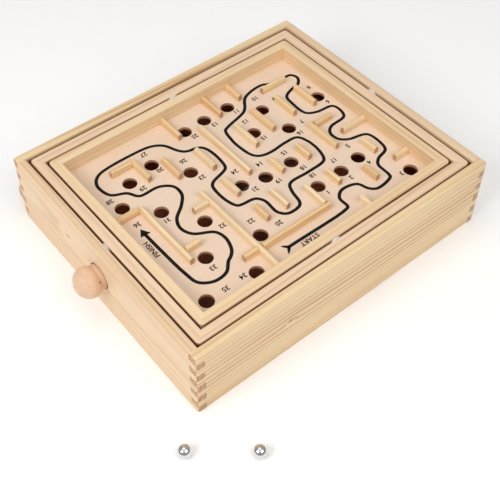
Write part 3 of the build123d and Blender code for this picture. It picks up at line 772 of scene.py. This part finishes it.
def print_text(material):
    joined = bmesh.new()
    for words, x, y, turn in [(n, x, y, 0) for n, x, y in NUMBERS] + WORDS:
        joined.from_mesh(text_mesh(words, x, y, turn))
    mesh = bpy.data.meshes.new("printed_numbers")
    joined.to_mesh(mesh)
    joined.free()
    for face in mesh.polygons:
        face.material_index = 0
    mesh.materials.clear()
    mesh.materials.append(material)
    return link(bpy.data.objects.new("printed_numbers", mesh))


def print_panel():
    paint(plywood("maze_plywood", colour(244, 221, 200), colour(229, 199, 170),
                  colour(206, 164, 126), colour(120, 76, 50)), "maze_panel")
    material = ink()
    for piece in (print_line(material), print_marks(material), print_text(material)):
        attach(piece, "maze_tray")


# ---- Cords and balls ------------------------------------------------------------------------------

CORD_R = 0.4 * MM
LOOP_R = 1.4 * MM
# From the shaft's axis to the middle of the cord that is wound round it
WOUND_R = 2.45 * MM
CORD_TURNS = 3
TURN_STEPS = 24
RUN_STEPS = 24
TUBE_SIDES = 10


def tube(name, path, material):
    """Round cord along a path, with closed ends. Its rings stay square to it, without twist."""
    verts, faces = [], []
    side = None
    for i, point in enumerate(path):
        ahead = (path[min(i + 1, len(path) - 1)] - path[max(i - 1, 0)]).normalized()
        side = ahead.orthogonal() if side is None else side - ahead * side.dot(ahead)
        side.normalize()
        up = ahead.cross(side)
        for k in range(TUBE_SIDES):
            turn = 2 * math.pi * k / TUBE_SIDES
            verts.append(point + (side * math.cos(turn) + up * math.sin(turn)) * CORD_R)
    for i in range(len(path) - 1):
        for k in range(TUBE_SIDES):
            a, b = i * TUBE_SIDES + k, i * TUBE_SIDES + (k + 1) % TUBE_SIDES
            faces.append([a, b, b + TUBE_SIDES, a + TUBE_SIDES])
    last = len(verts) - TUBE_SIDES
    faces += [list(range(TUBE_SIDES - 1, -1, -1)), list(range(last, last + TUBE_SIDES))]
    return mesh_object(name, verts, faces, material, smooth=True)


def run_to_loop(start, end):
    """A straight run whose end closes on itself in a flat round loop beyond it."""
    ahead = (end - start).normalized()
    side = Vector((ahead.y, -ahead.x, 0)).normalized()
    path = [start.lerp(end, step / RUN_STEPS) for step in range(RUN_STEPS)]
    for step in range(TURN_STEPS + 1):
        turn = 2 * math.pi * step / TURN_STEPS
        path.append(end + ahead * LOOP_R * (1 - math.cos(turn)) + side * LOOP_R * math.sin(turn))
    return path


def wound_turns(first, last, centre_z):
    """The cord's turns round a shaft along X, from the shaft's top back to its top."""
    path = []
    for step in range(CORD_TURNS * TURN_STEPS + 1):
        turn = 2 * math.pi * step / TURN_STEPS
        x = first + (last - first) * step / (CORD_TURNS * TURN_STEPS)
        path.append(Vector((x, -WOUND_R * math.sin(turn), centre_z + WOUND_R * math.cos(turn))))
    return path


def cord_routes(node, joint, along_y):
    """Points of one cord's turns and of its two runs, to the far screw eye and to the spring. They
    are worked out for a shaft along X. The other shaft lies along Y, a quarter turn on."""
    low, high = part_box(node)
    if along_y:
        low, high = Vector((-high.y, low.x, low.z)), Vector((-low.y, high.x, high.z))
    first, last = low.x + LOOP_R + CORD_R, high.x - LOOP_R - CORD_R
    shaft_z = joint_place(joint)[2]
    meet, leave = Vector((first, 0, shaft_z + WOUND_R)), Vector((last, 0, shaft_z + WOUND_R))
    far = Vector((first, high.y - CORD_R - 2 * LOOP_R, high.z - CORD_R))
    spring_start = Vector((last, -far.y, far.z))
    near = leave.lerp(spring_start, (low.y + CORD_R + 2 * LOOP_R) / spring_start.y)
    routes = {"turns": wound_turns(first, last, shaft_z), "far_run": run_to_loop(meet, far),
              "spring_run": run_to_loop(leave, near)}
    if along_y:
        routes = {part: [Vector((p.y, -p.x, p.z)) for p in path] for part, path in routes.items()}
    return routes


def cord_piece(name, path, material, node):
    piece = tube(name, path, material)
    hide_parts(node)
    return piece


def make_cord(node, material, joint, along_y, bodies):
    """One cord from the box, where the shaft holds its turns, through each body to the last. A run
    is cut into as many lengths as it crosses joints; these lengths stay where they are made."""
    routes = cord_routes(node, joint, along_y)
    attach(cord_piece(f"{node}_turns", routes["turns"], material, node), bodies[0])
    steps = RUN_STEPS // (len(bodies) - 1)
    for part in ("far_run", "spring_run"):
        path = routes[part]
        for i, (still, moving) in enumerate(zip(bodies, bodies[1:])):
            begin, end = i * steps, (i + 1) * steps
            stop = len(path) if moving == bodies[-1] else end + 1
            piece = cord_piece(f"{node}_{part}_{i + 1}", path[begin:stop], material, node)
            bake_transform(piece)


def make_cords():
    material = braid()
    make_cord("cord_x", material, "shaft_x_spin", False, ["box", "outer_frame"])
    make_cord("cord_y", material, "shaft_y_spin", True, ["box", "outer_frame", "maze_tray"])


def make_balls():
    """Finely divided polished balls in place of the coarser CAD ones."""
    polished = metal("ball_steel", colour(228, 226, 226), 0.04)
    for node in ("ball_1", "ball_2"):
        low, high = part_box(node)
        shape = bmesh.new()
        bmesh.ops.create_icosphere(shape, subdivisions=5, radius=(high.z - low.z) / 2)
        bmesh.ops.translate(shape, verts=shape.verts, vec=(low + high) / 2)
        mesh = bpy.data.meshes.new(f"{node}_steel")
        shape.to_mesh(mesh)
        shape.free()
        mesh.materials.append(polished)
        for face in mesh.polygons:
            face.use_smooth = True
        ball = link(bpy.data.objects.new(f"{node}_steel", mesh))
        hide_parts(node)
        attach(ball, node)


def make_floor():
    half = FLOOR_SIZE / 2
    corners = [(-half, -half, 0), (half, -half, 0), (half, half, 0), (-half, half, 0)]
    mesh_object("floor", corners, [[0, 1, 2, 3]], studio_floor())


make_camera()
make_world()
for lamp_name, lamp_facts in LAMPS.items():
    make_lamp(lamp_name, *lamp_facts)
make_floor()
paint_box()
paint_frames()
make_strips()
paint_knobs()
paint_metal()
print_panel()
make_cords()
make_balls()
